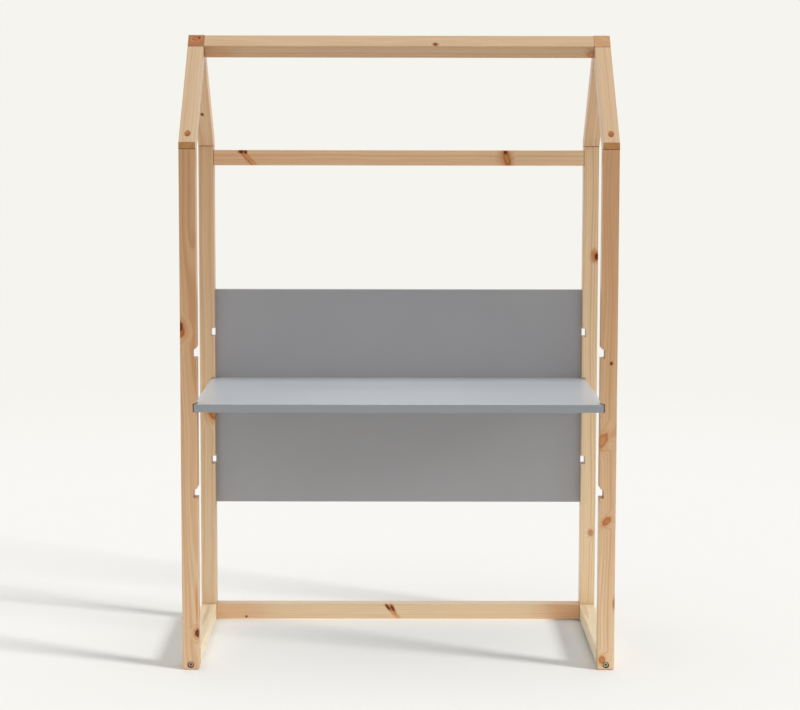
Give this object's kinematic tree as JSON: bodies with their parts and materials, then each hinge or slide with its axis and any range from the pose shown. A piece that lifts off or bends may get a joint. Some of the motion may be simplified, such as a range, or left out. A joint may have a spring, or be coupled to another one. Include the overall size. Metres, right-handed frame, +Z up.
{
  "type": "house-shaped desk",
  "caption": "Child's desk in an open house-shaped frame of pine bars, with a grey back panel and a grey desk board that slides into notches at one of several heights.",
  "frame": {"origin": "on the floor, at the middle of the four feet", "axes": "+X to the right of a child who sits at the desk, +Y to the back, away from the child, +Z up"},
  "size_m": [1, 0.5, 1.4697],
  "materials": {
    "pine": "planed, clear matt varnish",
    "grey_painted_board": "smooth grey satin lacquer on fibreboard",
    "zinc_plated_steel": "bright zinc plating",
    "beech": "fluted beech, raw"
  },
  "bodies": {
    "frame": {"apex_barrel_nuts": "zinc_plated_steel", "apex_bolts": "zinc_plated_steel", "apex_dowels": "beech", "back_panel": "grey_painted_board", "eave_rail": "pine", "eave_rail_barrel_nuts": "zinc_plated_steel", "eave_rail_bolts": "zinc_plated_steel", "eave_rail_dowels": "beech", "floor_rail": "pine", "floor_rail_barrel_nuts": "zinc_plated_steel", "floor_rail_bolts": "zinc_plated_steel", "floor_rail_dowels": "beech", "left_front_post": "pine", "left_front_rafter": "pine", "left_rear_post": "pine", "left_rear_rafter": "pine", "left_runner": "pine", "panel_barrel_nuts": "zinc_plated_steel", "panel_bolts": "zinc_plated_steel", "panel_dowels": "beech", "rafter_barrel_nuts": "zinc_plated_steel", "rafter_bolts": "zinc_plated_steel", "rafter_dowels": "beech", "ridge_barrel_nuts": "zinc_plated_steel", "ridge_beam": "pine", "ridge_bolts": "zinc_plated_steel", "ridge_dowels": "beech", "right_front_post": "pine", "right_front_rafter": "pine", "right_rear_post": "pine", "right_rear_rafter": "pine", "right_runner": "pine", "runner_barrel_nuts": "zinc_plated_steel", "runner_bolts": "zinc_plated_steel", "runner_dowels": "beech"},
    "desk": {"desk_board": "grey_painted_board"}
  },
  "joints": [
    {"name": "desk_slide", "type": "slide", "parent": "frame", "child": "desk", "axis": [0, -1, 0], "range_m": [0, 0.5]}
  ]
}
